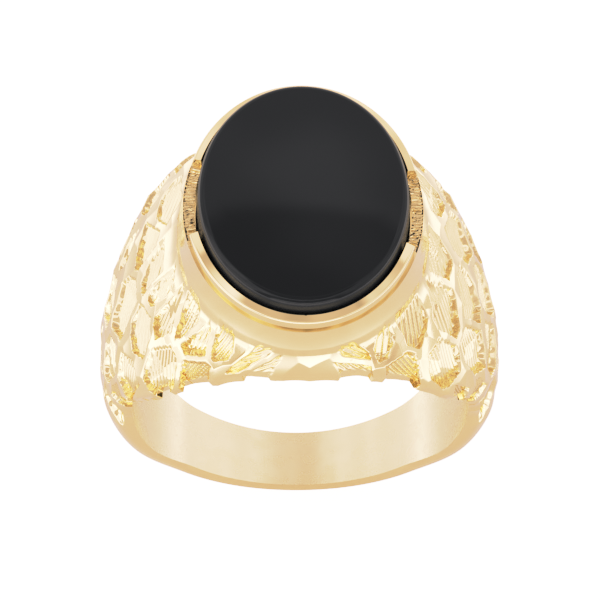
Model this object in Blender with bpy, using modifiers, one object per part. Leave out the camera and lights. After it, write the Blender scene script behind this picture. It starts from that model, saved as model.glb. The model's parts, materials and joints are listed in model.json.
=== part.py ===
"""Gentleman's signet ring: a flat oval onyx tablet in a gold head with two bezel crescents.

The ring stands on its shank. X runs left to right across the finger, Y along the finger
(the wearer's fingertip side is -Y) and Z up, with the lowest point of the shank at z = 0.
Units are metres. Angles around the hoop are degrees from the top, positive towards +X.
"""

import math

import bmesh
import bpy
from mathutils import Vector

MM = 0.001

# Hoop
BORE_RADIUS = 9.5 * MM
SHANK_THICKNESS = 1.25 * MM
LOWER_SIDE_THICKNESS = 1.8 * MM
SIDE_THICKNESS = 1.95 * MM
SHOULDER_THICKNESS = 2.65 * MM
HEAD_THICKNESS = 4.0 * MM
EDGE_THICKNESS = 0.35 * MM
SHANK_WIDTH = 3.8 * MM
SIDE_WIDTH = 7.7 * MM

# Onyx tablet
STONE_LENGTH = 16.0 * MM
STONE_WIDTH = 12.0 * MM
STONE_HEIGHT = 2.8 * MM
STONE_DRAFT = 0.15 * MM
STONE_EDGE_ROUND = 0.4 * MM
STONE_SEGMENTS = 96

# Head and bezel; BEZEL_TURN is how far both crescents are turned round the oval, in degrees
STONE_CLEARANCE = 0.06 * MM
BEZEL_WALL = 0.5 * MM
BEZEL_HEIGHT = 0.75 * MM
BEZEL_FOOT = 0.4 * MM
BEZEL_CHAMFER = 0.12 * MM
BEZEL_OPENING = 5.4 * MM
BEZEL_TURN = 3.0
LEDGE_RIM = 0.12 * MM
STONE_PROUD = 0.85 * MM
HEAD_RISE = 3.7 * MM
HEAD_FLARE = 0.6 * MM
COLLAR_REACH = 0.42 * MM
BEARING_WIDTH = 1.3 * MM
CEMENT_THICKNESS = 0.2 * MM
JOINT_GAP = 0.02 * MM

# Where the sections are soldered together: the head runs this far past its ledge to meet the
# shoulders, which meet the shank at an angle in degrees from the top
HEAD_REACH = 1.13 * MM
SHANK_JOINT = 108.0

# Exponent of the face's curve across the band, at the top and down the sides
HEAD_SQUARENESS = 4.0
SIDE_ROUNDNESS = 2.3
OUTER_POINTS = 28
DEGREES_PER_SECTION = 3.0
SPOKES = 96
FACE_STEPS = 14
BORE_STEPS = 6

# Worked out from the sizes above
BORE_CENTRE_Z = BORE_RADIUS + SHANK_THICKNESS
LEDGE_Z = BORE_CENTRE_Z + BORE_RADIUS + HEAD_RISE
RIM_Z = LEDGE_Z + BEZEL_HEIGHT
STONE_TOP_Z = RIM_Z + STONE_PROUD
STONE_BASE_Z = STONE_TOP_Z - STONE_HEIGHT
BEARING_Z = STONE_BASE_Z - CEMENT_THICKNESS
POCKET_X = STONE_WIDTH / 2 + STONE_CLEARANCE
POCKET_Y = STONE_LENGTH / 2 + STONE_CLEARANCE
LEDGE_X = POCKET_X + BEZEL_WALL + LEDGE_RIM
LEDGE_Y = POCKET_Y + BEZEL_WALL + LEDGE_RIM
WINDOW_X = POCKET_X - BEARING_WIDTH
WINDOW_Y = POCKET_Y - BEARING_WIDTH
HEAD_HALF_LENGTH = LEDGE_Y + HEAD_FLARE
HEAD_JOINT = math.degrees(math.asin((LEDGE_X + HEAD_REACH) / (BORE_RADIUS + SHOULDER_THICKNESS)))

GOLD = (0.93, 0.75, 0.42)
ONYX = (0.022, 0.022, 0.023)
CEMENT = (0.62, 0.56, 0.42)


def clear_scene():
    for thing in list(bpy.data.objects):
        bpy.data.objects.remove(thing, do_unlink=True)


def new_collection(name):
    collection = bpy.data.collections.new(name)
    bpy.context.scene.collection.children.link(collection)
    return collection


def new_material(name, colour, roughness, metallic):
    material = bpy.data.materials.new(name)
    material.use_nodes = True
    shader = material.node_tree.nodes["Principled BSDF"]
    shader.inputs["Base Color"].default_value = (*colour, 1.0)
    shader.inputs["Roughness"].default_value = roughness
    shader.inputs["Metallic"].default_value = metallic
    return material


def smooth_between(stations, angle):
    """The value at an angle, by a monotone cubic that is level at both ends."""
    points = sorted(stations)
    steps = [b[0] - a[0] for a, b in zip(points, points[1:])]
    slopes = [(b[1] - a[1]) / step for a, b, step in zip(points, points[1:], steps)]
    tangents = [0.0]
    for i in range(1, len(slopes)):
        before, after = slopes[i - 1], slopes[i]
        flat = before * after <= 0.0
        tangents.append(0.0 if flat else 2 * before * after / (before + after))
    tangents.append(0.0)
    i = next(k for k in range(len(steps)) if angle <= points[k + 1][0])
    t = (angle - points[i][0]) / steps[i]
    start, end = points[i][1], points[i + 1][1]
    return (
        start * (1 + 2 * t) * (1 - t) ** 2
        + end * (3 - 2 * t) * t**2
        + tangents[i] * steps[i] * t * (1 - t) ** 2
        + tangents[i + 1] * steps[i] * t**2 * (t - 1)
    )


def from_top(angle):
    """How far round from the top an angle is, either way."""
    return abs((angle + 180.0) % 360.0 - 180.0)


def half_width(angle):
    """Half the band's width at its edge with the bore."""
    head, side, shank = HEAD_HALF_LENGTH, SIDE_WIDTH / 2, SHANK_WIDTH / 2
    stations = (
        (0.0, head),
        (0.675 * HEAD_JOINT, side + 0.88 * (head - side)),
        (1.35 * HEAD_JOINT, side + 0.65 * (head - side)),
        (90.0, side),
        (118.0, shank + 0.62 * (side - shank)),
        (142.0, shank + 0.14 * (side - shank)),
        (180.0, shank),
    )
    return smooth_between(stations, from_top(angle))


def crown_radius(angle):
    """Distance from the bore's axis to the middle of the outer face."""
    shoulder = BORE_RADIUS + SHOULDER_THICKNESS
    stations = (
        (0.0, BORE_RADIUS + HEAD_THICKNESS),
        (0.675 * HEAD_JOINT, shoulder + 0.4 * (HEAD_THICKNESS - SHOULDER_THICKNESS)),
        (1.025 * HEAD_JOINT, shoulder),
        (1.5 * HEAD_JOINT, shoulder + 0.8 * (SIDE_THICKNESS - SHOULDER_THICKNESS)),
        (90.0, BORE_RADIUS + SIDE_THICKNESS),
        (130.0, BORE_RADIUS + LOWER_SIDE_THICKNESS),
        (180.0, BORE_RADIUS + SHANK_THICKNESS),
    )
    return smooth_between(stations, from_top(angle))


def face_exponent(angle):
    middle = SIDE_ROUNDNESS + 0.47 * (HEAD_SQUARENESS - SIDE_ROUNDNESS)
    stations = (
        (0.0, HEAD_SQUARENESS),
        (0.675 * HEAD_JOINT, middle),
        (1.125 * HEAD_JOINT, SIDE_ROUNDNESS),
        (180.0, SIDE_ROUNDNESS),
    )
    return smooth_between(stations, from_top(angle))


def face_height(angle, y):
    """Distance of the outer face from the bore's axis, at a place along the finger."""
    height = crown_radius(angle) - BORE_RADIUS - EDGE_THICKNESS
    share = min(abs(y) / half_width(angle), 1.0)
    return BORE_RADIUS + EDGE_THICKNESS + height * math.sqrt(1.0 - share ** face_exponent(angle))


def face_place(angle, turn):
    """Place along the finger of a turn across the face, from pi (front edge) to 0 (rear)."""
    cosine = math.cos(turn)
    share = abs(cosine) ** (2.0 / face_exponent(angle))
    return half_width(angle) * math.copysign(share, cosine)


def around(angle, y, radius):
    """Point at an angle round the bore, a place along the finger and a radius."""
    turn = math.radians(angle)
    return Vector((radius * math.sin(turn), y, BORE_CENTRE_Z + radius * math.cos(turn)))


def section(angle):
    """Closed outline of the band at one angle: out over its face, then back along the bore."""
    width = half_width(angle)
    outline = [around(angle, -width, BORE_RADIUS)]
    for step in range(OUTER_POINTS + 1):
        y = face_place(angle, math.pi * (1.0 - step / OUTER_POINTS))
        outline.append(around(angle, y, face_height(angle, y)))
    outline.append(around(angle, width, BORE_RADIUS))
    outline += [around(angle, width * share, BORE_RADIUS) for share in (0.5, 0.0, -0.5)]
    return outline


def new_object(name, mesh_builder, material, collection):
    mesh = bpy.data.meshes.new(name)
    bmesh.ops.recalc_face_normals(mesh_builder, faces=mesh_builder.faces)
    mesh_builder.to_mesh(mesh)
    mesh_builder.free()
    if material:
        mesh.materials.append(material)
    mesh.shade_smooth()
    mesh.set_sharp_from_angle(angle=math.radians(30))
    thing = bpy.data.objects.new(name, mesh)
    collection.objects.link(thing)
    return thing


def lofted(loops, ends_meet=False):
    """Closed skin through equal loops, capped at both ends unless the ends meet."""
    builder = bmesh.new()
    rows = [[builder.verts.new(point) for point in loop] for loop in loops]
    following_rows = rows[1:] + rows[:1] if ends_meet else rows[1:]
    for row, following in zip(rows, following_rows):
        for i in range(len(row)):
            j = (i + 1) % len(row)
            builder.faces.new((row[i], row[j], following[j], following[i]))
    if not ends_meet:
        builder.faces.new(rows[0])
        builder.faces.new(rows[-1])
    return builder


def hoop_piece(name, start, end, material, collection):
    """Length of the band between two angles, its end faces drawn back by half the joint gap."""
    back = math.degrees(JOINT_GAP / 2 / BORE_RADIUS)
    start, end = start + back, end - back
    count = max(2, round((end - start) / DEGREES_PER_SECTION))
    angles = [start + (end - start) * i / count for i in range(count + 1)]
    return new_object(name, lofted([section(a) for a in angles]), material, collection)


def oval_cone(name, low, high, bottom, top, material, collection):
    """Oval cone frustum standing on z = bottom, from half axes low to half axes high."""
    builder = bmesh.new()
    bmesh.ops.create_cone(
        builder,
        cap_ends=True,
        segments=STONE_SEGMENTS,
        radius1=1.0,
        radius2=1.0,
        depth=top - bottom,
    )
    middle = (top + bottom) / 2
    for vert in builder.verts:
        half_x, half_y = low if vert.co.z < 0.0 else high
        vert.co = Vector((vert.co.x * half_x, vert.co.y * half_y, vert.co.z + middle))
    return new_object(name, builder, material, collection)


def crescent(name, side, grow, bottom, top, material, collection):
    """Curved bezel wall round one end of the oval: side is +1 for the rear and -1 for the front."""
    inner_x, inner_y = POCKET_X - grow, POCKET_Y - grow
    outer_x, outer_y = POCKET_X + BEZEL_WALL + grow, POCKET_Y + BEZEL_WALL + grow
    half_open = math.asin((BEZEL_OPENING / 2 - grow) / outer_y)
    start = side * half_open - math.radians(BEZEL_TURN)
    end = side * (math.pi - half_open) - math.radians(BEZEL_TURN)
    chamfer = max(BEZEL_CHAMFER - grow, 0.01 * MM)
    corners = (
        (0.0, bottom),
        (1.0, bottom),
        (1.0, top - chamfer),
        (1.0 - chamfer / BEZEL_WALL, top),
        (0.0, top),
    )
    count = 36
    loops = []
    for i in range(count + 1):
        turn = start + (end - start) * i / count
        inner = Vector((inner_x * math.cos(turn), inner_y * math.sin(turn), 0.0))
        outer = Vector((outer_x * math.cos(turn), outer_y * math.sin(turn), 0.0))
        loops.append([inner.lerp(outer, share) + Vector((0, 0, z)) for share, z in corners])
    return new_object(name, lofted(loops), material, collection)


def cut(target, cutter):
    modifier = target.modifiers.new("cut_" + cutter.name, "BOOLEAN")
    modifier.operation = "DIFFERENCE"
    modifier.solver = "EXACT"
    modifier.object = cutter


def under_ledge(spoke):
    """Hoop angle, place along the finger and height of the face right under the ledge's edge."""
    x, y = LEDGE_X * math.cos(spoke), LEDGE_Y * math.sin(spoke)
    angle = 0.0
    for _ in range(30):
        radius = face_height(angle, y)
        angle = math.degrees(math.asin(x / radius))
    return angle, y, around(angle, y, radius).z


def collar_rise(point):
    """How far the coved collar round the ledge lifts a point of the face."""
    spoke = math.atan2(point.y / LEDGE_Y, point.x / LEDGE_X)
    seat_z = under_ledge(spoke)[2]
    stretch = math.hypot(point.x / LEDGE_X, point.y / LEDGE_Y)
    out = max(stretch - 1.0, 0.0) * math.hypot(point.x, point.y) / stretch
    travelled = out + max(seat_z - point.z, 0.0)
    return (LEDGE_Z - seat_z) * math.exp(-travelled / COLLAR_REACH)


def head_spoke(spoke):
    """Points round the head's skin along one spoke, from the window's lower edge and back."""
    joint = HEAD_JOINT - math.degrees(JOINT_GAP / 2 / BORE_RADIUS)
    cosine, sine = math.cos(spoke), math.sin(spoke)
    largest = max(abs(cosine), abs(sine))
    end_angle, end_turn = joint * cosine / largest, math.pi / 2 * (1.0 - sine / largest)
    start_angle, start_y, _ = under_ledge(spoke)
    share = min(abs(start_y) / half_width(start_angle), 1.0)
    start_turn = math.acos(math.copysign(share ** (face_exponent(start_angle) / 2), sine))
    face = []
    for step in range(FACE_STEPS + 1):
        along = (step / FACE_STEPS) ** 1.7
        angle = start_angle + (end_angle - start_angle) * along
        y = face_place(angle, start_turn + (end_turn - start_turn) * along)
        point = around(angle, y, face_height(angle, y))
        if step < FACE_STEPS:
            point.z += collar_rise(point)
        face.append(point)
    edge_y = face[-1].y
    window = Vector((WINDOW_X * cosine, WINDOW_Y * sine, 0.0))
    window_angle = math.degrees(math.asin(window.x / BORE_RADIUS))
    bore = []
    for step in range(BORE_STEPS + 1):
        along = step / BORE_STEPS
        angle = window_angle + (end_angle - window_angle) * along
        bore.append(around(angle, window.y + (edge_y - window.y) * along, BORE_RADIUS))
    middle = bore[-1].lerp(face[-1], 0.5)
    pocket = Vector((POCKET_X * cosine, POCKET_Y * sine, 0.0))
    top = [pocket + Vector((0, 0, z)) for z in (LEDGE_Z, (LEDGE_Z + BEARING_Z) / 2, BEARING_Z)]
    return bore + [middle] + face[::-1] + top + [window + Vector((0, 0, BEARING_Z))]


def build_head(gold, ring, cutters):
    """Head: flat ledge, coved collar, oval pocket with a bearing, window open to the finger."""
    spokes = [head_spoke(2 * math.pi * i / SPOKES) for i in range(SPOKES)]
    head = new_object("head", lofted(spokes, ends_meet=True), gold, ring)
    for name, side in (("front_seat_cutter", -1), ("rear_seat_cutter", 1)):
        seat_z = LEDGE_Z - BEZEL_FOOT
        cutter = crescent(name, side, JOINT_GAP, seat_z, RIM_Z, None, cutters)
        cutter.hide_render = True
        cutter.display_type = "WIRE"
        cut(head, cutter)


def build_cement(cement, ring):
    """Flat oval ring of bedding cement between the bearing and the tablet."""
    outline = bpy.data.curves.new("cement_outline", "CURVE")
    outline.dimensions = "2D"
    outline.fill_mode = "BOTH"
    outline.extrude = CEMENT_THICKNESS / 2 - JOINT_GAP
    outline.resolution_u = 16
    inner_margin = BEARING_WIDTH - JOINT_GAP
    outer_margin = STONE_CLEARANCE + STONE_DRAFT
    for margin in (outer_margin, inner_margin):
        half_x, half_y = POCKET_X - margin, POCKET_Y - margin
        spline = outline.splines.new("BEZIER")
        spline.bezier_points.add(3)
        spline.use_cyclic_u = True
        handle = 4.0 / 3.0 * math.tan(math.pi / 8.0)
        for point, quarter in zip(spline.bezier_points, range(4)):
            turn = quarter * math.pi / 2
            along = Vector((math.cos(turn) * half_x, math.sin(turn) * half_y, 0))
            across = Vector((-math.sin(turn) * half_x, math.cos(turn) * half_y, 0)) * handle
            point.co = along
            point.handle_left = along - across
            point.handle_right = along + across
    bed = bpy.data.objects.new("cement_bed", outline)
    bed.location.z = BEARING_Z + CEMENT_THICKNESS / 2
    outline.materials.append(cement)
    ring.objects.link(bed)


def build_tablet(onyx, ring):
    """Flat-topped oval onyx tablet, its side slightly drawn in and its top edge rounded."""
    tablet = oval_cone(
        "onyx_tablet",
        (STONE_WIDTH / 2, STONE_LENGTH / 2),
        (STONE_WIDTH / 2 - STONE_DRAFT, STONE_LENGTH / 2 - STONE_DRAFT),
        STONE_BASE_Z,
        STONE_TOP_Z,
        onyx,
        ring,
    )
    rounding = tablet.modifiers.new("rounded_edge", "BEVEL")
    rounding.width = STONE_EDGE_ROUND
    rounding.segments = 4
    rounding.limit_method = "ANGLE"
    rounding.angle_limit = math.radians(45)


def build_ring():
    clear_scene()
    ring = new_collection("signet_ring")
    cutters = new_collection("cutters")
    gold = new_material("polished_gold", GOLD, 0.12, 1.0)
    onyx = new_material("black_onyx", ONYX, 0.08, 0.0)
    cement = new_material("bedding_cement", CEMENT, 0.6, 0.0)
    hoop_piece("shank", SHANK_JOINT, 360.0 - SHANK_JOINT, gold, ring)
    hoop_piece("shoulder_right", HEAD_JOINT, SHANK_JOINT, gold, ring)
    hoop_piece("shoulder_left", -SHANK_JOINT, -HEAD_JOINT, gold, ring)
    build_head(gold, ring, cutters)
    foot_z = LEDGE_Z - BEZEL_FOOT + JOINT_GAP
    crescent("bezel_front", -1, 0.0, foot_z, RIM_Z, gold, ring)
    crescent("bezel_rear", 1, 0.0, foot_z, RIM_Z, gold, ring)
    build_cement(cement, ring)
    build_tablet(onyx, ring)


build_ring()
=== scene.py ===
import json
import math

import bmesh
import bpy
import numpy as np
from mathutils import Matrix, Vector


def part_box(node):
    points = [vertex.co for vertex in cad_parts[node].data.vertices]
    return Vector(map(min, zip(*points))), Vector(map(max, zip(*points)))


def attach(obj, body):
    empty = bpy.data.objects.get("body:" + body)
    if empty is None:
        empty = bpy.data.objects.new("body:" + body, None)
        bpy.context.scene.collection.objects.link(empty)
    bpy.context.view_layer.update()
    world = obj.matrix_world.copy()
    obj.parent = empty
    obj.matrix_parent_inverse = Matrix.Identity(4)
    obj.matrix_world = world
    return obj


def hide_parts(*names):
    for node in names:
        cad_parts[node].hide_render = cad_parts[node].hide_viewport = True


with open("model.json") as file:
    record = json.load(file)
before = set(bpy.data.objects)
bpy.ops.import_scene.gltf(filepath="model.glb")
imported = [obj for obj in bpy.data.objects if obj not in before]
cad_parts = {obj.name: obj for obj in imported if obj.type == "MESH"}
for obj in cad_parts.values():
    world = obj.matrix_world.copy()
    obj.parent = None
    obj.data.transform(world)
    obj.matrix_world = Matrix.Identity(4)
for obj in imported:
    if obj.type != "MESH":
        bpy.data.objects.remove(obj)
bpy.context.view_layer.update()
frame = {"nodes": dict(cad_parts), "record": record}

# ---------------------------------------------------------------------------------------
# Polished gold. The whole mount is one pale yellow gold with faint buffing lines: buffed to
# a mirror outside, brighter still on the burnished bezel, and satin where the finger goes,
# where its colour is also painted paler: painted light.
# ---------------------------------------------------------------------------------------
MM = 0.001
GOLD_PALE = (0.945, 0.820, 0.520, 1.0)
GOLD_WARM = (0.925, 0.787, 0.481, 1.0)
# The bore's satin gold is painted paler than the buffed gold: painted light.
SATIN_PALE_PAINTED_LIGHT = (0.960, 0.875, 0.604, 1.0)
SATIN_WARM_PAINTED_LIGHT = (0.945, 0.847, 0.559, 1.0)
TINT_SCALE = 420.0
PATCH_SCALE = 900.0
BUFFING_STRETCH = (1.0, 0.06, 1.0)
BUFFING_DEPTH = 0.01 * MM


def add_node(tree, kind, **values):
    """Node of one kind, its attributes or its input sockets set by name."""
    node = tree.nodes.new(kind)
    for name, value in values.items():
        if hasattr(node, name):
            setattr(node, name, value)
        else:
            node.inputs[name.replace("_", " ")].default_value = value
    return node


def ramp(tree, source, low, high, at_low, at_high, smooth=False):
    """Output that goes from at_low, where the source is low, to at_high, where it is high."""
    kind = "SMOOTHSTEP" if smooth else "LINEAR"
    node = add_node(tree, "ShaderNodeMapRange", interpolation_type=kind)
    tree.links.new(source, node.inputs["Value"])
    ends = zip(("From Min", "From Max", "To Min", "To Max"), (low, high, at_low, at_high))
    for socket, value in ends:
        if isinstance(value, float):
            node.inputs[socket].default_value = value
        else:
            tree.links.new(value, node.inputs[socket])
    return node.outputs["Result"]


def calculate(tree, operation, *values):
    """Output of a Math node, from numbers or other nodes' outputs."""
    node = add_node(tree, "ShaderNodeMath", operation=operation)
    for socket, value in zip(node.inputs, values):
        if isinstance(value, float):
            socket.default_value = value
        else:
            tree.links.new(value, socket)
    return node.outputs["Value"]


def new_group(name, inputs, outputs):
    group = bpy.data.node_groups.new(name, "ShaderNodeTree")
    for socket, kind, value in inputs:
        made = group.interface.new_socket(name=socket, in_out="INPUT", socket_type=kind)
        made.default_value = value
    for socket, kind in outputs:
        group.interface.new_socket(name=socket, in_out="OUTPUT", socket_type=kind)
    group.nodes.new("NodeGroupInput")
    group.nodes.new("NodeGroupOutput")
    return group


def buffed_metal_group():
    """Colour, roughness and height of buffed gold from Object coordinates."""
    group = new_group(
        "buffed_metal",
        [
            ("Pale", "NodeSocketColor", GOLD_PALE),
            ("Warm", "NodeSocketColor", GOLD_WARM),
            ("Least Roughness", "NodeSocketFloat", 0.05),
            ("Most Roughness", "NodeSocketFloat", 0.14),
            ("Line Scale", "NodeSocketFloat", 9000.0),
        ],
        [
            ("Color", "NodeSocketColor"),
            ("Roughness", "NodeSocketFloat"),
            ("Height", "NodeSocketFloat"),
        ],
    )
    source = group.nodes["Group Input"].outputs
    result = group.nodes["Group Output"].inputs
    link = group.links.new
    place = add_node(group, "ShaderNodeTexCoord").outputs["Object"]
    clouds = add_node(group, "ShaderNodeTexNoise", Scale=TINT_SCALE, Detail=3.0)
    link(place, clouds.inputs["Vector"])
    tint = add_node(group, "ShaderNodeMix", data_type="RGBA")
    link(clouds.outputs["Fac"], tint.inputs["Factor"])
    link(source["Pale"], tint.inputs["A"])
    link(source["Warm"], tint.inputs["B"])
    link(tint.outputs["Result"], result["Color"])
    patches = add_node(group, "ShaderNodeTexNoise", Scale=PATCH_SCALE, Detail=4.0)
    link(place, patches.inputs["Vector"])
    least, most = source["Least Roughness"], source["Most Roughness"]
    link(ramp(group, patches.outputs["Fac"], 0.35, 0.7, least, most), result["Roughness"])
    stretch = add_node(group, "ShaderNodeMapping")
    stretch.inputs["Scale"].default_value = BUFFING_STRETCH
    link(place, stretch.inputs["Vector"])
    lines = add_node(group, "ShaderNodeTexNoise", Detail=2.0)
    link(stretch.outputs["Vector"], lines.inputs["Vector"])
    link(source["Line Scale"], lines.inputs["Scale"])
    link(lines.outputs["Fac"], result["Height"])
    return group


buffed_metal = buffed_metal_group()


def gold_material(name, least, most, bump, pale=GOLD_PALE, warm=GOLD_WARM):
    """Gold with its own range of roughness and depth of buffing lines."""
    material = bpy.data.materials.new(name)
    material.use_nodes = True
    tree = material.node_tree
    shader = tree.nodes["Principled BSDF"]
    shader.inputs["Metallic"].default_value = 1.0
    surface = add_node(tree, "ShaderNodeGroup", node_tree=buffed_metal)
    surface.inputs["Pale"].default_value = pale
    surface.inputs["Warm"].default_value = warm
    surface.inputs["Least Roughness"].default_value = least
    surface.inputs["Most Roughness"].default_value = most
    tree.links.new(surface.outputs["Color"], shader.inputs["Base Color"])
    tree.links.new(surface.outputs["Roughness"], shader.inputs["Roughness"])
    relief = add_node(tree, "ShaderNodeBump", Strength=bump, Distance=BUFFING_DEPTH)
    tree.links.new(surface.outputs["Height"], relief.inputs["Height"])
    tree.links.new(relief.outputs["Normal"], shader.inputs["Normal"])
    return material


mirror_gold = gold_material("mirror_gold", 0.06, 0.14, 0.15)
burnished_gold = gold_material("burnished_gold", 0.015, 0.04, 0.03)
# Satin finish in the bore, its colour painted paler: painted light.
satin_painted_pale_gold = gold_material("satin_painted_pale_gold", 0.22, 0.32, 0.3, SATIN_PALE_PAINTED_LIGHT, SATIN_WARM_PAINTED_LIGHT)

# ---------------------------------------------------------------------------------------
# Shank. The plain lower part of the hoop is a polished D-shaped band of gold: flat against
# the finger, rounded outside, narrowest and thinnest at the bottom.
# ---------------------------------------------------------------------------------------
mounts = {mount["name"]: mount for mount in frame["record"]["mounts"]}
BORE_CENTRE = mounts["finger_bore"]["pos_m"][2] / MM
BORE_RADIUS = mounts["finger_bore"]["dims"]["r_mm"]
HEAD_HALF_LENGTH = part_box("head")[1][1] / MM
SIDE_HALF_WIDTH = 3.85
SHANK_HALF_WIDTH = 1.9
EDGE_THICKNESS = 0.35
HEAD_THICKNESS = 4.0
SHOULDER_THICKNESS = 2.65
SIDE_THICKNESS = 1.95
LOWER_SIDE_THICKNESS = 1.8
SHANK_THICKNESS = BORE_CENTRE - BORE_RADIUS
HEAD_SQUARENESS = 4.0
SIDE_ROUNDNESS = 2.3
HEAD_JOINT = 40.0
SHANK_JOINT = 108.0
SHANK_RINGS = 220
SHANK_COLUMNS = 90


def smooth_between(stations, at):
    """Values by a monotone cubic through (place, value) stations, level at both ends."""
    places = np.array([station[0] for station in stations])
    values = np.array([station[1] for station in stations])
    steps = np.diff(places)
    slopes = np.diff(values) / steps
    before, after = slopes[:-1], slopes[1:]
    total = np.where(before + after == 0.0, 1.0, before + after)
    inner = np.where(before * after <= 0.0, 0.0, 2 * before * after / total)
    tangents = np.concatenate(([0.0], inner, [0.0]))
    i = np.clip(np.searchsorted(places, at) - 1, 0, len(steps) - 1)
    t = (at - places[i]) / steps[i]
    return (
        values[i] * (1 + 2 * t) * (1 - t) ** 2
        + values[i + 1] * (3 - 2 * t) * t**2
        + tangents[i] * steps[i] * t * (1 - t) ** 2
        + tangents[i + 1] * steps[i] * t**2 * (t - 1)
    )


def from_top(angle):
    return np.abs((angle + 180.0) % 360.0 - 180.0)


def half_width(angle):
    """Half the band's width at its edge with the bore, in mm; angles are from the top."""
    head, side, shank = HEAD_HALF_LENGTH, SIDE_HALF_WIDTH, SHANK_HALF_WIDTH
    stations = (
        (0.0, head),
        (27.0, side + 0.88 * (head - side)),
        (54.0, side + 0.65 * (head - side)),
        (90.0, side),
        (118.0, shank + 0.62 * (side - shank)),
        (142.0, shank + 0.14 * (side - shank)),
        (180.0, shank),
    )
    return smooth_between(stations, from_top(angle))


def crown_height(angle):
    """Rise of the middle of the outer face above the top of the band's edge."""
    above_side = SHOULDER_THICKNESS - SIDE_THICKNESS
    above_shoulder = HEAD_THICKNESS - SHOULDER_THICKNESS
    stations = (
        (0.0, HEAD_THICKNESS),
        (27.0, SHOULDER_THICKNESS + 0.4 * above_shoulder),
        (41.0, SHOULDER_THICKNESS),
        (60.0, SIDE_THICKNESS + 0.2 * above_side),
        (90.0, SIDE_THICKNESS),
        (130.0, LOWER_SIDE_THICKNESS),
        (180.0, SHANK_THICKNESS),
    )
    return smooth_between(stations, from_top(angle)) - EDGE_THICKNESS


def face_exponent(angle):
    middle = SIDE_ROUNDNESS + 0.47 * (HEAD_SQUARENESS - SIDE_ROUNDNESS)
    stations = (
        (0.0, HEAD_SQUARENESS),
        (27.0, middle),
        (45.0, SIDE_ROUNDNESS),
        (180.0, SIDE_ROUNDNESS),
    )
    return smooth_between(stations, from_top(angle))


def hoop_face(angle, turn):
    """(y, r) of the outer face: turn runs from pi at the front edge to 0 at the rear edge."""
    cosine = np.cos(turn)
    y = half_width(angle) * np.sign(cosine) * np.abs(cosine) ** (2.0 / face_exponent(angle))
    return y, BORE_RADIUS + EDGE_THICKNESS + crown_height(angle) * np.abs(np.sin(turn))


def around(angle, y, r):
    """Points from hoop angle, place along the finger and distance from the bore's axis."""
    sine, cosine = np.sin(np.radians(angle)), np.cos(np.radians(angle))
    return np.stack(np.broadcast_arrays(r * sine, y, BORE_CENTRE + r * cosine), axis=-1)


def skin(name, rows, closed, material, node):
    """Closed piece from a grid whose rows are rings of points; open ends are capped."""
    if closed:
        rows = np.concatenate([rows, rows[:1]])
    rows = np.concatenate([rows, rows[:, :1]], axis=1)
    builder = bmesh.new()
    bmesh.ops.create_grid(
        builder, x_segments=rows.shape[1] - 1, y_segments=rows.shape[0] - 1, size=1.0
    )
    mesh = bpy.data.meshes.new(name)
    builder.to_mesh(mesh)
    builder.free()
    mesh.vertices.foreach_set("co", (rows.reshape(-1, 3) * MM).astype(np.float32).ravel())
    builder = bmesh.new()
    builder.from_mesh(mesh)
    bmesh.ops.remove_doubles(builder, verts=builder.verts, dist=1e-7)
    if not closed:
        rim = [edge for edge in builder.edges if edge.is_boundary]
        bmesh.ops.holes_fill(builder, edges=rim, sides=0)
    bmesh.ops.recalc_face_normals(builder, faces=builder.faces)
    builder.to_mesh(mesh)
    builder.free()
    mesh.materials.append(material)
    mesh.materials.append(satin_painted_pale_gold)
    count = len(mesh.polygons)
    middles = np.empty(count * 3, np.float32)
    mesh.polygons.foreach_get("center", middles)
    middles = middles.reshape(-1, 3) / MM
    from_axis = np.hypot(middles[:, 0], middles[:, 2] - BORE_CENTRE)
    in_bore = (from_axis < BORE_RADIUS + 0.01).astype(np.int32)
    mesh.polygons.foreach_set("material_index", in_bore)
    mesh.shade_smooth()
    mesh.set_sharp_from_angle(angle=math.radians(60))
    piece = bpy.data.objects.new(name, mesh)
    bpy.context.scene.collection.objects.link(piece)
    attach(piece, "root")
    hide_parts(node)


def even_turns(angle, columns):
    """Turns across the outer face at even steps of its length."""
    turns = np.linspace(math.pi, 0.0, 1200)
    y, r = hoop_face(np.full_like(turns, angle), turns)
    length = np.concatenate(([0.0], np.cumsum(np.hypot(np.diff(y), np.diff(r)))))
    return np.interp(np.linspace(0.0, length[-1], columns), length, turns)


def band_rows(start, end, count, columns, face):
    """Rings of points round the band between two hoop angles, face giving its outer side."""
    angles = np.linspace(start, end, count)
    turns = np.array([even_turns(angle, columns) for angle in angles])
    angles = angles[:, None]
    outer = face(np.repeat(angles, columns, axis=1), turns)
    front, rear = outer[:, :1, 1], outer[:, -1:, 1]
    edge = BORE_RADIUS + EDGE_THICKNESS * np.linspace(0.0, 1.0, 5)[None, :-1]
    bore_y = rear + (front - rear) * np.linspace(0.0, 1.0, 12)[None, 1:-1]
    return np.concatenate([
        around(angles, front, edge),
        outer,
        around(angles, rear, edge[:, ::-1]),
        around(angles, bore_y, BORE_RADIUS),
    ], axis=1)


def polished_face(angles, turns):
    y, r = hoop_face(angles, turns)
    return around(angles, y, r)


shank_rows = band_rows(
    SHANK_JOINT, 360.0 - SHANK_JOINT, SHANK_RINGS, SHANK_COLUMNS, polished_face
)
skin("shank_band", shank_rows, False, mirror_gold, "shank")

# ---------------------------------------------------------------------------------------
# Shoulders. Cast in gold and carved by hand: pockets of different sizes are cut between
# polished straps, each down to a sloping floor with a few strokes of the graver.
# ---------------------------------------------------------------------------------------
FAR = 9.0
UNROLLED_RADIUS = 12.0
POCKET_DEPTH = 0.45
STRAP_HALF = 0.20
STROKE_PITCH = 0.34
STROKE_DEPTH = 0.14
DIMPLE_PITCH = 1.5
DIMPLE_DEPTH = 0.16
CARVING_END = 101.0
COLLAR_REACH = 0.42
COLLAR_WIDTH = 0.5
COLLAR_FADE = 0.3
CARVING_FADE = 5.0
TURN_STEP = 0.002
SHOULDER_RINGS = 330
SHOULDER_COLUMNS = 275

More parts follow.
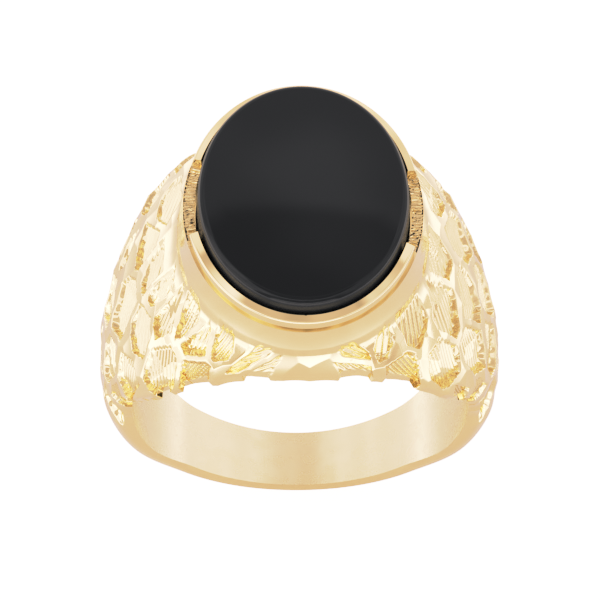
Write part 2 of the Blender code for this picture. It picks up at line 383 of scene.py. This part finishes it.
# Pockets on either side, as cut: mm round the hoop from the top, mm across towards the
# wrist, half length, half width, and degrees the strokes lean towards the fingertip.
RIGHT_POCKETS = (
    (6.2, -6.0, 1.3, 0.8, 65), (8.8, -3.2, 1.4, 1.1, 35), (11.3, -1.0, 1.4, 0.9, 40),
    (12.6, -4.0, 1.6, 1.2, 30), (9.8, -7.1, 1.5, 1.1, 38), (6.6, -8.9, 1.4, 0.9, 25),
    (10.6, 3.0, 1.6, 1.1, 42), (7.9, 4.2, 1.1, 0.6, 28), (8.1, -0.3, 0.9, 0.7, 50),
    (13.8, 1.3, 1.5, 0.9, 35), (15.4, -2.0, 1.3, 0.9, 30), (15.3, -6.1, 0.9, 0.7, 30),
    (18.3, -3.9, 1.3, 0.7, 20), (12.7, -8.1, 0.8, 0.6, 10), (4.7, -7.6, 0.9, 0.4, 80),
    (2.9, -10.1, 1.2, 0.6, 30), (2.8, -8.9, 1.2, 0.4, 5),
)
LEFT_POCKETS = (
    (8.2, 3.5, 1.3, 0.6, 55), (9.9, 2.0, 1.2, 0.9, 45), (9.2, -0.6, 1.3, 0.6, 60),
    (8.7, -2.3, 0.8, 0.5, 20), (12.6, -0.8, 1.8, 1.1, 45), (11.0, -3.5, 1.6, 0.8, 55),
    (8.2, -4.1, 1.0, 0.9, 40), (6.6, -5.2, 0.8, 0.7, 30), (6.2, -7.0, 1.0, 0.8, 45),
    (9.6, -7.3, 1.5, 1.0, 60), (7.3, -9.0, 1.3, 0.7, 25), (15.9, -2.8, 1.5, 0.8, 35),
    (13.6, -5.6, 1.3, 0.9, 45), (16.8, -5.0, 1.0, 0.6, 30), (19.2, -3.6, 1.1, 0.6, 30),
    (15.0, 1.3, 1.2, 0.8, 40), (4.8, -7.7, 0.8, 0.6, 30), (3.3, -9.4, 1.0, 0.4, 5),
    (2.9, -10.3, 1.0, 0.5, 20), (12.3, 3.2, 0.7, 0.4, 30),
)
REAR_POCKETS = (
    (13.2, 4.7, 1.4, 0.9, 35), (16.3, 3.4, 1.2, 0.9, 35), (17.7, -0.3, 1.1, 0.8, 30),
    (10.1, 6.6, 1.4, 1.0, 40), (7.0, 7.8, 1.2, 0.9, 50), (12.8, 7.7, 1.1, 0.8, 30),
    (4.4, 9.2, 1.2, 0.8, 20), (15.8, 6.2, 1.0, 0.7, 30), (9.3, 9.3, 1.0, 0.6, 20),
    (1.5, 9.8, 1.1, 0.6, 10), (18.9, 2.3, 0.9, 0.7, 30), (20.0, -1.2, 0.7, 0.6, 30),
)


def scatter(i, j, seed):
    """Repeatable number from 0 to 1 for each pair of whole numbers."""
    value = np.sin(i * 127.1 + j * 311.7 + seed * 74.7) * 43758.5453
    return value - np.floor(value)


def pocket_edges(s, t, half_length, half_width_, number):
    """Distance inside the four straight cuts of a pocket, from its own long and short axes."""
    wander = [scatter(number, n, 4) - 0.5 for n in range(4)]
    corners = (
        (-half_length, half_width_ * (0.2 + 0.9 * wander[0])),
        (half_length * (0.1 + 0.8 * wander[1]), -half_width_),
        (half_length, half_width_ * (0.9 * wander[2] - 0.1)),
        (half_length * (0.8 * wander[3] - 0.1), half_width_),
    )
    inside = np.full_like(s, FAR)
    for (s0, t0), (s1, t1) in zip(corners, corners[1:] + corners[:1]):
        length = math.hypot(s1 - s0, t1 - t0)
        away = ((s1 - s0) * (t - t0) - (t1 - t0) * (s - s0)) / length
        inside = np.minimum(inside, away)
    return inside


def pocket_depths(along, across, pockets, from_edge):
    """Depth of the pockets below the straps at places on one side of the unrolled face."""
    depth = np.zeros_like(along)
    for number, (at, over, half_length, half_width_, lean) in enumerate(pockets):
        near = np.hypot(along - at, across - over) < 3.2 * half_length
        if not near.any():
            continue
        out, up = along[near] - at, across[near] - over
        cosine, sine = math.cos(math.radians(lean)), math.sin(math.radians(lean))
        s, t = out * cosine - up * sine, out * sine + up * cosine
        inside = pocket_edges(s, t, 2.2 * half_length, 2.1 * half_width_, number)
        for other in pockets:
            to_other = (other[0] - at, other[1] - over)
            gap = math.hypot(*to_other)
            if 0.0 < gap < 5.0:
                share = 0.5 * gap - (out * to_other[0] + up * to_other[1]) / gap
                inside = np.minimum(inside, share - STRAP_HALF)
        inside = inside + 0.02 * np.sin(7.0 * s + number) + 0.02 * np.sin(11.0 * t)
        deepening = np.clip(0.55 + 0.5 * s / half_length, 0.0, 1.0)
        wall = np.clip(inside / (0.20 - 0.10 * deepening), 0.0, 1.0)
        fan = t * (1.0 - 0.12 * s / half_length)
        stroke = fan / (STROKE_PITCH * (0.85 + 0.3 * scatter(number, 1, 8)))
        ridge = 2.0 * np.abs(stroke - np.round(stroke))
        whole = POCKET_DEPTH * min(1.0, 0.35 + 0.7 * half_width_)
        scored = STROKE_DEPTH * np.clip(from_edge[near] / 0.5, 0.0, 1.0)
        floor = whole * (0.3 + 0.7 * deepening) + scored * (0.6 - ridge)
        cut = wall * wall * (3.0 - 2.0 * wall) * np.maximum(floor, 0.03)
        depth[near] = np.maximum(depth[near], cut)
    return depth


def dimples(along, across, pitch):
    """1 in the middle of each shallow hammer mark, falling to crisp ridges between them."""
    u, v = along / pitch, across / pitch
    nearest = np.full_like(u, FAR)
    for di in (-1, 0, 1):
        for dj in (-1, 0, 1):
            i, j = np.floor(u) + di, np.floor(v) + dj
            du, dv = u - i - scatter(i, j, 1), v - j - scatter(i, j, 6)
            nearest = np.minimum(nearest, du * du + dv * dv)
    return 1.0 - np.clip(nearest, 0.0, 1.0)


STONE_LOW, STONE_HIGH = (np.array(corner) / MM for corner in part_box("onyx_tablet"))
STONE_CLEARANCE = 0.06
BEZEL_WALL = 0.5
LEDGE_RIM = 0.12
BEZEL_HEIGHT = 0.75
RIM_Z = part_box("bezel_front")[1][2] / MM
LEDGE_Z = RIM_Z - BEZEL_HEIGHT
POCKET_X = STONE_HIGH[0] + STONE_CLEARANCE
POCKET_Y = STONE_HIGH[1] + STONE_CLEARANCE
LEDGE_X = POCKET_X + BEZEL_WALL + LEDGE_RIM
LEDGE_Y = POCKET_Y + BEZEL_WALL + LEDGE_RIM


def under_ledge(spokes):
    """Hoop angle, turn and height of the hoop's face right under the ledge's edge."""
    x, y = LEDGE_X * np.cos(spokes), LEDGE_Y * np.sin(spokes)
    angle = np.zeros_like(x)
    for _ in range(40):
        share = np.clip(np.abs(y) / half_width(angle), 0.0, 1.0)
        height = np.sqrt(1.0 - share ** face_exponent(angle))
        radius = BORE_RADIUS + EDGE_THICKNESS + crown_height(angle) * height
        angle = np.degrees(np.arcsin(x / radius))
    turn = np.arccos(np.sign(y) * share ** (face_exponent(angle) / 2.0))
    return angle, turn, BORE_CENTRE + radius * np.cos(np.radians(angle))


LEDGE_SPOKES = np.linspace(-math.pi, math.pi, 1441)
SEAT_Z = under_ledge(LEDGE_SPOKES)[2]


def from_ledge(place):
    """How far a point of the hoop's face is out from and down from the ledge, and its rise."""
    x, y, z = place[..., 0], place[..., 1], place[..., 2]
    seat_z = np.interp(np.arctan2(y / LEDGE_Y, x / LEDGE_X), LEDGE_SPOKES, SEAT_Z)
    stretch = np.maximum(np.hypot(x / LEDGE_X, y / LEDGE_Y), 1e-6)
    out = np.maximum(stretch - 1.0, 0.0) * np.hypot(x, y) / stretch
    travelled = out + np.maximum(seat_z - z, 0.0)
    return travelled, (LEDGE_Z - seat_z) * np.exp(-travelled / COLLAR_REACH)


def carved_face(angles, turns):
    """Outer face with the coved collar raised round the ledge and the carving cut into it."""
    y, r = hoop_face(angles, turns)
    y_before, r_before = hoop_face(angles, np.minimum(turns + TURN_STEP, math.pi))
    y_after, r_after = hoop_face(angles, np.maximum(turns - TURN_STEP, 0.0))
    length = np.hypot(y_after - y_before, r_after - r_before)
    inward_y, inward_r = (r_after - r_before) / length, (y_before - y_after) / length
    travelled, rise = from_ledge(around(angles, y, r))
    along = np.radians((angles + 180.0) % 360.0 - 180.0) * UNROLLED_RADIUS
    across = y + (UNROLLED_RADIUS - r) * 0.8 * (y / half_width(angles)) ** 3
    from_edge = half_width(angles) - np.abs(y) + r - BORE_RADIUS - EDGE_THICKNESS
    right = pocket_depths(along, across, RIGHT_POCKETS + REAR_POCKETS, from_edge)
    left = pocket_depths(-along, across, LEFT_POCKETS + REAR_POCKETS, from_edge)
    hammered = DIMPLE_DEPTH * dimples(along + 0.2 * np.sin(across), across, DIMPLE_PITCH)
    depth = np.maximum(right, left) + hammered
    depth = depth * np.clip((travelled - COLLAR_WIDTH) / COLLAR_FADE, 0.0, 1.0)
    depth = depth * np.clip((CARVING_END - from_top(angles)) / CARVING_FADE, 0.0, 1.0)
    points = around(angles, y + inward_y * depth, r + inward_r * depth)
    points[..., 2] += rise
    return points


for side, start, end in (("right", HEAD_JOINT, SHANK_JOINT), ("left", -SHANK_JOINT, -HEAD_JOINT)):
    rows = band_rows(start, end, SHOULDER_RINGS, SHOULDER_COLUMNS, carved_face)
    skin("carved_shoulder_" + side, rows, False, mirror_gold, "shoulder_" + side)

# ---------------------------------------------------------------------------------------
# Head. The block under the stone: a flat ledge cut with fine graver lines, an oval pocket
# with a bearing, an open back, a smooth polished collar, and carving down to the bore.
# ---------------------------------------------------------------------------------------
HEAD_COLUMNS = 800
FACE_STEPS = 94
BEARING_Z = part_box("cement_bed")[0][2] / MM
BEARING_WIDTH = 1.3
OPENING_HALF = 2.7
HATCH_PITCH = 0.22
HATCH_DEPTH = 0.12
BEZEL_TURN = math.radians(3.0)
# Brown painted shade for the graver lines and the crease at the bezel's foot.
GROOVE_PAINTED_SHADE = (0.68, 0.57, 0.34, 1.0)
LINE_WANDER = 4.0
WANDER_SCALE = 700.0
LINE_EDGES = (0.12, 0.42)
LINE_BUMP = 0.05 * MM
SCORED_Z = (LEDGE_Z - 0.06) * MM
SCORED_HALF = 0.09 * MM
CREVICE_Z = (LEDGE_Z + 0.05) * MM
CREVICE_HALF = 0.08 * MM
CREVICE_SHADE_SHARE = 0.7
BEARING_STEP = 0.6


def oval(half_x, half_y, z, turns):
    return np.stack([half_x * np.cos(turns), half_y * np.sin(turns), np.full_like(turns, z)], -1)


def ledge_rows(turns):
    """The ledge from the pocket out, scored across where the bezel leaves it bare."""
    y = LEDGE_Y * np.sin(turns + BEZEL_TURN)
    bare = np.clip((OPENING_HALF - np.abs(y)) / 0.1, 0.0, 1.0)
    line = y / HATCH_PITCH + 0.4 * np.sin(3.0 * y)
    groove = 1.0 - 2.0 * np.abs(line - np.round(line))
    rows = []
    for share in np.linspace(0.0, 1.0, 9)[:-1]:
        worn = scatter(np.round(line), np.floor(3.0 * share), 2)
        row = oval(POCKET_X + (LEDGE_X - POCKET_X) * share,
                   POCKET_Y + (LEDGE_Y - POCKET_Y) * share, LEDGE_Z, turns)
        row[:, 2] -= bare * HATCH_DEPTH * (0.4 + 0.6 * worn) * groove * (share < 0.95)
        rows.append(row)
    return rows


def head_rows():
    turns = np.linspace(0.0, 2 * math.pi, HEAD_COLUMNS, endpoint=False)
    steps = np.linspace(0.0, 1.0, FACE_STEPS)[:, None] ** 1.2
    start_angle, start_turn, _ = under_ledge(turns)
    cosine, sine = np.cos(turns), np.sin(turns)
    largest = np.maximum(np.abs(cosine), np.abs(sine))
    end_angle = HEAD_JOINT * cosine / largest
    end_turn = math.pi / 2 * (1.0 - sine / largest)
    angles = start_angle + (end_angle - start_angle) * steps
    face = carved_face(angles, start_turn + (end_turn - start_turn) * steps)
    face[0] = oval(LEDGE_X, LEDGE_Y, LEDGE_Z, turns)
    top = np.hypot(face[-1, :, 0], face[-1, :, 2] - BORE_CENTRE)
    edge_y = face[-1, :, 1]
    edge = [around(end_angle, edge_y, BORE_RADIUS + (top - BORE_RADIUS) * share)
            for share in (0.75, 0.5, 0.25, 0.0)]
    window_x, window_y = POCKET_X - BEARING_WIDTH, POCKET_Y - BEARING_WIDTH
    window_angle = np.degrees(np.arcsin(window_x * cosine / BORE_RADIUS))
    bore = [around(end_angle + (window_angle - end_angle) * share,
                   edge_y + (window_y * sine - edge_y) * share, BORE_RADIUS)
            for share in np.linspace(0.0, 1.0, 10)[1:]]
    rows = [oval(window_x, window_y, BEARING_Z, turns),
            oval(POCKET_X - BEARING_STEP, POCKET_Y - BEARING_STEP, BEARING_Z, turns),
            oval(POCKET_X, POCKET_Y, BEARING_Z, turns),
            oval(POCKET_X, POCKET_Y, (BEARING_Z + LEDGE_Z) / 2, turns)]
    return np.array(rows + ledge_rows(turns) + list(face) + edge + bore)


def graver_lines_group():
    """Masks of the fine lines cut across the bare ledge and of the painted shade at the bezel's
    foot.
    """
    group = new_group(
        "graver_lines",
        [("Pitch", "NodeSocketFloat", HATCH_PITCH * MM)],
        [("Lines", "NodeSocketFloat"), ("Crevice Shade", "NodeSocketFloat")],
    )
    pitch = group.nodes["Group Input"].outputs["Pitch"]
    result = group.nodes["Group Output"].inputs
    place = add_node(group, "ShaderNodeTexCoord").outputs["Object"]
    wander = add_node(group, "ShaderNodeTexNoise", Scale=WANDER_SCALE, Detail=3.0)
    group.links.new(place, wander.inputs["Vector"])
    split = add_node(group, "ShaderNodeSeparateXYZ")
    group.links.new(place, split.inputs["Vector"])
    y, z = split.outputs["Y"], split.outputs["Z"]
    shift = calculate(group, "MULTIPLY", wander.outputs["Fac"], LINE_WANDER)
    line = calculate(group, "ADD", calculate(group, "DIVIDE", y, pitch), shift)
    grooves = ramp(group, calculate(group, "PINGPONG", line, 0.5), *LINE_EDGES, 0.0, 1.0, True)
    bare = calculate(group, "LESS_THAN", calculate(group, "ABSOLUTE", y), OPENING_HALF * MM)

    def level(middle, half):
        off = calculate(group, "ABSOLUTE", calculate(group, "SUBTRACT", z, middle))
        return calculate(group, "LESS_THAN", off, half)

    scored = calculate(group, "MULTIPLY", level(SCORED_Z, SCORED_HALF), bare)
    lines = calculate(group, "MULTIPLY", scored, grooves)
    group.links.new(lines, result["Lines"])
    group.links.new(level(CREVICE_Z, CREVICE_HALF), result["Crevice Shade"])
    return group


graver_lines = graver_lines_group()


def scored_gold(name, gold):
    """Gold with graver lines over the bare ledge; painted shade darkens them and a line round the
    bezel's foot.
    """
    material = gold.copy()
    material.name = name
    tree = material.node_tree
    shader = tree.nodes["Principled BSDF"]
    lines = add_node(tree, "ShaderNodeGroup", node_tree=graver_lines)
    colour = shader.inputs["Base Color"].links[0].from_socket
    # Painted shade: the base colour turns brown in the graver lines and at the bezel's foot.
    painted_shade = add_node(tree, "ShaderNodeMix", data_type="RGBA")
    painted_shade.inputs["B"].default_value = GROOVE_PAINTED_SHADE
    crevice_shade = calculate(tree, "MULTIPLY", lines.outputs["Crevice Shade"], CREVICE_SHADE_SHARE)
    painted_shade_mask = calculate(tree, "MAXIMUM", crevice_shade, lines.outputs["Lines"])
    tree.links.new(painted_shade_mask, painted_shade.inputs["Factor"])
    tree.links.new(colour, painted_shade.inputs["A"])
    tree.links.new(painted_shade.outputs["Result"], shader.inputs["Base Color"])
    scored = add_node(tree, "ShaderNodeBump", Strength=0.8, Distance=LINE_BUMP, invert=True)
    tree.links.new(lines.outputs["Lines"], scored.inputs["Height"])
    tree.links.new(shader.inputs["Normal"].links[0].from_socket, scored.inputs["Normal"])
    tree.links.new(scored.outputs["Normal"], shader.inputs["Normal"])
    return material


skin("carved_head", head_rows(), True, scored_gold("head_gold", mirror_gold), "head")

# ---------------------------------------------------------------------------------------
# Bezel. Two crescents of gold wall, front and rear, are let into the ledge and hold the
# stone down; their rims fall slightly outwards, burnished bright, and are rounded outside.
# ---------------------------------------------------------------------------------------
BEZEL_RINGS = 240
BEZEL_FOOT = 0.38
RIM_FALL = 0.134
RIM_START = 0.06
OUTER_ROUND = (0.24, 0.106)
OUTER_ROUND_Z = RIM_Z - 0.20


def bezel_rows(side):
    half_open = math.asin(OPENING_HALF / (POCKET_Y + BEZEL_WALL))
    start = side * half_open - BEZEL_TURN
    end = side * (math.pi - half_open) - BEZEL_TURN
    turns = np.linspace(start, end, BEZEL_RINGS)
    across, rise = OUTER_ROUND
    profile = [(0.0, LEDGE_Z - BEZEL_FOOT), (1.0, LEDGE_Z - BEZEL_FOOT), (1.0, LEDGE_Z),
               (1.0, OUTER_ROUND_Z)]
    profile += [(1.0 - across * (1 - math.cos(t)), OUTER_ROUND_Z + rise * math.sin(t))
                for t in np.linspace(0.3, math.pi / 2, 5)]
    profile += [(share, RIM_Z - RIM_FALL * (share - RIM_START))
                for share in (0.72, 0.14, RIM_START)]
    profile += [(0.02, RIM_Z - 0.02), (0.0, RIM_Z - 0.06), (0.0, LEDGE_Z)]
    loops = [oval(POCKET_X + BEZEL_WALL * share, POCKET_Y + BEZEL_WALL * share, z, turns)
             for share, z in profile]
    return np.array(loops).transpose(1, 0, 2)


bezel_gold = scored_gold("bezel_gold", burnished_gold)
skin("bezel_crescent_front", bezel_rows(-1), False, bezel_gold, "bezel_front")
skin("bezel_crescent_rear", bezel_rows(1), False, bezel_gold, "bezel_rear")

# ---------------------------------------------------------------------------------------
# Onyx tablet. A flat oval of black onyx with a high polish, its top edge rounded over, its
# side drawn in slightly towards the top and left less polished than the top; the side is
# also painted a lighter grey than the top: painted light.
# ---------------------------------------------------------------------------------------
STONE_DRAFT = 0.15
STONE_EDGE_ROUND = 0.4
ONYX_BLACK = (0.0022, 0.0022, 0.0023, 1.0)
ONYX_GREY = (0.0042, 0.0044, 0.0043, 1.0)
STONE_ROUGHNESS = (0.03, 0.08)
STONE_GRAIN = 260.0
STONE_RELIEF = 0.01 * MM
GIRDLE_HEIGHTS = ((STONE_HIGH[2] - 0.5) * MM, (STONE_HIGH[2] - 0.2) * MM)
GIRDLE_ROUGHNESS = 0.3
GIRDLE_PAINTED_LIGHT = (0.016, 0.016, 0.017, 1.0)


def onyx_material():
    material = bpy.data.materials.new("black_onyx")
    material.use_nodes = True
    tree = material.node_tree
    shader = tree.nodes["Principled BSDF"]
    shader.inputs["IOR"].default_value = 1.5
    place = add_node(tree, "ShaderNodeTexCoord").outputs["Object"]
    grain = add_node(tree, "ShaderNodeTexNoise", Scale=STONE_GRAIN, Detail=5.0)
    tree.links.new(place, grain.inputs["Vector"])
    tint = add_node(tree, "ShaderNodeMix", data_type="RGBA")
    tint.inputs["A"].default_value = ONYX_BLACK
    tint.inputs["B"].default_value = ONYX_GREY
    tree.links.new(grain.outputs["Fac"], tint.inputs["Factor"])
    height = add_node(tree, "ShaderNodeSeparateXYZ")
    tree.links.new(place, height.inputs["Vector"])
    girdle = ramp(tree, height.outputs["Z"], *GIRDLE_HEIGHTS, 1.0, 0.0)
    # The side is painted a lighter grey than the top: painted light.
    painted_light_side = add_node(tree, "ShaderNodeMix", data_type="RGBA")
    painted_light_side.inputs["B"].default_value = GIRDLE_PAINTED_LIGHT
    tree.links.new(girdle, painted_light_side.inputs["Factor"])
    tree.links.new(tint.outputs["Result"], painted_light_side.inputs["A"])
    tree.links.new(painted_light_side.outputs["Result"], shader.inputs["Base Color"])
    polish = ramp(tree, grain.outputs["Fac"], 0.0, 1.0, *STONE_ROUGHNESS)
    dulled = calculate(tree, "MULTIPLY", girdle, GIRDLE_ROUGHNESS)
    tree.links.new(calculate(tree, "ADD", polish, dulled), shader.inputs["Roughness"])
    relief = add_node(tree, "ShaderNodeBump", Strength=0.02, Distance=STONE_RELIEF)
    tree.links.new(grain.outputs["Fac"], relief.inputs["Height"])
    tree.links.new(relief.outputs["Normal"], shader.inputs["Normal"])
    return material


def onyx_tablet():
    builder = bmesh.new()
    height = STONE_HIGH[2] - STONE_LOW[2]
    bmesh.ops.create_cone(
        builder, cap_ends=True, segments=256, radius1=1.0, radius2=1.0, depth=height
    )
    middle = (STONE_HIGH[2] + STONE_LOW[2]) / 2
    for vert in builder.verts:
        draft = STONE_DRAFT if vert.co.z > 0.0 else 0.0
        vert.co.x *= STONE_HIGH[0] - draft
        vert.co.y *= STONE_HIGH[1] - draft
        vert.co.z += middle
    bmesh.ops.scale(builder, vec=(MM, MM, MM), verts=builder.verts)
    rim = [edge for edge in builder.edges if len(edge.link_faces) == 2
           and max(len(face.verts) for face in edge.link_faces) > 4]
    bmesh.ops.bevel(
        builder, geom=rim, offset=STONE_EDGE_ROUND * MM, offset_type="OFFSET", segments=6,
        profile=0.5, affect="EDGES", material=-1, clamp_overlap=True,
    )
    mesh = bpy.data.meshes.new("onyx_stone")
    builder.to_mesh(mesh)
    builder.free()
    mesh.materials.append(onyx_material())
    mesh.shade_smooth()
    mesh.set_sharp_from_angle(angle=math.radians(40))
    piece = bpy.data.objects.new("onyx_stone", mesh)
    bpy.context.scene.collection.objects.link(piece)
    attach(piece, "root")
    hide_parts("onyx_tablet")


onyx_tablet()

# ---------------------------------------------------------------------------------------
# Bedding cement. A thin bed of hardened cement under the stone, only seen from the open
# back of the head.
# ---------------------------------------------------------------------------------------
CEMENT_DARK = (0.50, 0.43, 0.31, 1.0)
CEMENT_PALE = (0.66, 0.60, 0.46, 1.0)
CEMENT_ROUGHNESS = (0.45, 0.75)
CEMENT_GRAIN = 3000.0
CEMENT_RELIEF = 0.02 * MM


def cement_material():
    material = bpy.data.materials.new("bedding_cement")
    material.use_nodes = True
    tree = material.node_tree
    shader = tree.nodes["Principled BSDF"]
    place = add_node(tree, "ShaderNodeTexCoord").outputs["Object"]
    grain = add_node(tree, "ShaderNodeTexNoise", Scale=CEMENT_GRAIN, Detail=4.0)
    tree.links.new(place, grain.inputs["Vector"])
    tint = add_node(tree, "ShaderNodeMix", data_type="RGBA")
    tint.inputs["A"].default_value = CEMENT_DARK
    tint.inputs["B"].default_value = CEMENT_PALE
    tree.links.new(grain.outputs["Fac"], tint.inputs["Factor"])
    tree.links.new(tint.outputs["Result"], shader.inputs["Base Color"])
    dull = ramp(tree, grain.outputs["Fac"], 0.0, 1.0, *CEMENT_ROUGHNESS)
    tree.links.new(dull, shader.inputs["Roughness"])
    relief = add_node(tree, "ShaderNodeBump", Strength=0.3, Distance=CEMENT_RELIEF)
    tree.links.new(grain.outputs["Fac"], relief.inputs["Height"])
    tree.links.new(relief.outputs["Normal"], shader.inputs["Normal"])
    return material


cement = frame["nodes"]["cement_bed"]
for slot in cement.material_slots:
    slot.material = cement_material()

# ---------------------------------------------------------------------------------------
# Studio. A white tent over a polished white floor that glows evenly white to the camera; to
# everything else its glow is dimmed near the ring, a painted shadow round the ring. The tent is
# dimmer to the right, in front, overhead and high up behind, with a bright strip low in front.
# ---------------------------------------------------------------------------------------
TENT_LEFT = 1.6
TENT_RIGHT = 1.02
TENT_BACK = 1.02
TENT_PATCH = 0.62
TENT_FRONT = 0.72
TENT_TOP = 0.66
TENT_STRIP = 2.0
STRIP_TOP = 0.42
FOLD_SCALE = 5.0
FOLD_DEPTH = 0.14
FLOOR_GREY = (0.3, 0.3, 0.3, 1.0)
FLOOR_GLOW = 1.8
FLOOR_NEAR = 0.47
FLOOR_FAR = 1.5
PAINTED_SHADOW_START = 0.03
PAINTED_SHADOW_END = 0.11
CAMERA_ELEVATION = 51.3
CAMERA_AZIMUTH = -2.0
CAMERA_ROLL = 1.45
CAMERA_DISTANCE = 0.4
CAMERA_LENS = 424.0
CAMERA_AIM = (0.0, 0.0, 0.0130)
CAMERA_SHIFT = 0.00184
PATCH_SINE = math.sin(math.radians(CAMERA_ELEVATION))
TOP_SINE = 0.89
TONE_WHITE = 2.0
TONES_RED = ((0.1, 0.07), (0.44, 0.456), (0.66, 0.72), (0.94, 0.83), (1.22, 0.91))
TONES_GREEN = ((0.1, 0.067), (0.3, 0.235), (0.56, 0.49), (0.8, 0.69), (1.05, 0.795), (1.43, 0.9))
TONES_BLUE = ((0.1, 0.068), (0.36, 0.25), (0.51, 0.43), (0.67, 0.6), (1.06, 0.79), (1.45, 0.9))


def studio_floor():
    builder = bmesh.new()
    bmesh.ops.create_grid(builder, x_segments=1, y_segments=1, size=0.6)
    mesh = bpy.data.meshes.new("studio_floor")
    builder.to_mesh(mesh)
    builder.free()
    material = bpy.data.materials.new("white_acrylic")
    material.use_nodes = True
    tree = material.node_tree
    shader = tree.nodes["Principled BSDF"]
    shader.inputs["Base Color"].default_value = FLOOR_GREY
    shader.inputs["Roughness"].default_value = 0.05
    shader.inputs["IOR"].default_value = 1.5
    shader.inputs["Emission Color"].default_value = (1.0, 1.0, 1.0, 1.0)
    away = add_node(tree, "ShaderNodeVectorMath", operation="LENGTH")
    place = add_node(tree, "ShaderNodeTexCoord").outputs["Object"]
    tree.links.new(place, away.inputs["Vector"])
    # Glow seen in reflections is dimmed near the ring: a painted shadow on the floor.
    painted_shadow_glow = ramp(
        tree, away.outputs["Value"], PAINTED_SHADOW_START, PAINTED_SHADOW_END, FLOOR_NEAR, FLOOR_FAR, True
    )
    seen = add_node(tree, "ShaderNodeLightPath").outputs["Is Camera Ray"]
    glow = ramp(tree, seen, 0.0, 1.0, painted_shadow_glow, FLOOR_GLOW)
    tree.links.new(glow, shader.inputs["Emission Strength"])
    mesh.materials.append(material)
    floor = bpy.data.objects.new("studio_floor", mesh)
    bpy.context.scene.collection.objects.link(floor)


def surround():
    """White tent with broad brighter and dimmer zones and soft folds."""
    world = bpy.data.worlds.new("white_tent")
    bpy.context.scene.world = world
    world.use_nodes = True
    tree = world.node_tree
    background = tree.nodes["Background"]
    background.inputs["Color"].default_value = (1.0, 1.0, 1.0, 1.0)
    direction = add_node(tree, "ShaderNodeTexCoord").outputs["Generated"]
    split = add_node(tree, "ShaderNodeSeparateXYZ")
    tree.links.new(direction, split.inputs["Vector"])
    x, y, z = (split.outputs[axis] for axis in "XYZ")

    def zone(source, low, high, at_low=0.0, at_high=1.0):
        return ramp(tree, source, low, high, at_low, at_high, True)

    def blend(share, first, second):
        node = add_node(tree, "ShaderNodeMix", data_type="FLOAT")
        for socket, value in zip(("Factor", "A", "B"), (share, first, second)):
            tree.links.new(value, node.inputs[socket])
        return node.outputs["Result"]

    sides = zone(x, -0.1, 0.7, TENT_LEFT, TENT_RIGHT)
    back = zone(z, PATCH_SINE - 0.004, PATCH_SINE + 0.012, TENT_BACK, TENT_PATCH)
    front = zone(z, 0.75, 0.95, TENT_FRONT, TENT_LEFT)
    top = zone(x, -0.1, 0.3, TENT_TOP, 0.9 * TENT_TOP)
    level = blend(zone(y, 0.2, 0.5), sides, back)
    level = blend(zone(y, -0.45, -0.62), level, front)
    level = blend(zone(z, TOP_SINE, 1.04 * TOP_SINE), level, top)
    low_down = zone(z, STRIP_TOP, STRIP_TOP - 0.03)
    strip = calculate(tree, "MULTIPLY", low_down, zone(y, -0.72, -0.8, 0.0, TENT_STRIP))
    folds = add_node(tree, "ShaderNodeTexNoise", Scale=FOLD_SCALE, Detail=1.0)
    tree.links.new(direction, folds.inputs["Vector"])
    shading = zone(folds.outputs["Fac"], 0.35, 0.65, 1.0 - FOLD_DEPTH, 1.0 + FOLD_DEPTH)
    lit = calculate(tree, "MULTIPLY", calculate(tree, "MAXIMUM", level, strip), shading)
    tree.links.new(lit, background.inputs["Strength"])


def main_camera():
    data = bpy.data.cameras.new("camera")
    data.lens = CAMERA_LENS
    data.clip_start = 0.01
    camera = bpy.data.objects.new("camera", data)
    bpy.context.scene.collection.objects.link(camera)
    turns = (CAMERA_ELEVATION, CAMERA_AZIMUTH, CAMERA_ROLL)
    e, a, tilt = (math.radians(degrees) for degrees in turns)
    back = Vector((math.sin(a) * math.cos(e), -math.cos(a) * math.cos(e), math.sin(e)))
    level = Vector((math.cos(a), math.sin(a), 0.0))
    upright = back.cross(level)
    right = level * math.cos(tilt) + upright * math.sin(tilt)
    up = upright * math.cos(tilt) - level * math.sin(tilt)
    turned = Matrix((right, up, back)).transposed().to_4x4()
    centre = Vector(CAMERA_AIM) + up * CAMERA_SHIFT
    camera.matrix_world = Matrix.Translation(centre + back * CAMERA_DISTANCE) @ turned
    bpy.context.scene.camera = camera


def grade():
    """Plain transform with a little more contrast in the middle tones."""
    view = bpy.context.scene.view_settings
    view.view_transform = "Standard"
    view.use_curve_mapping = True
    view.curve_mapping.white_level = (TONE_WHITE,) * 3
    for curve, tones in zip(view.curve_mapping.curves, (TONES_RED, TONES_GREEN, TONES_BLUE)):
        for place, value in tones:
            curve.points.new(place / TONE_WHITE, value)
    view.curve_mapping.update()


studio_floor()
surround()
main_camera()
grade()
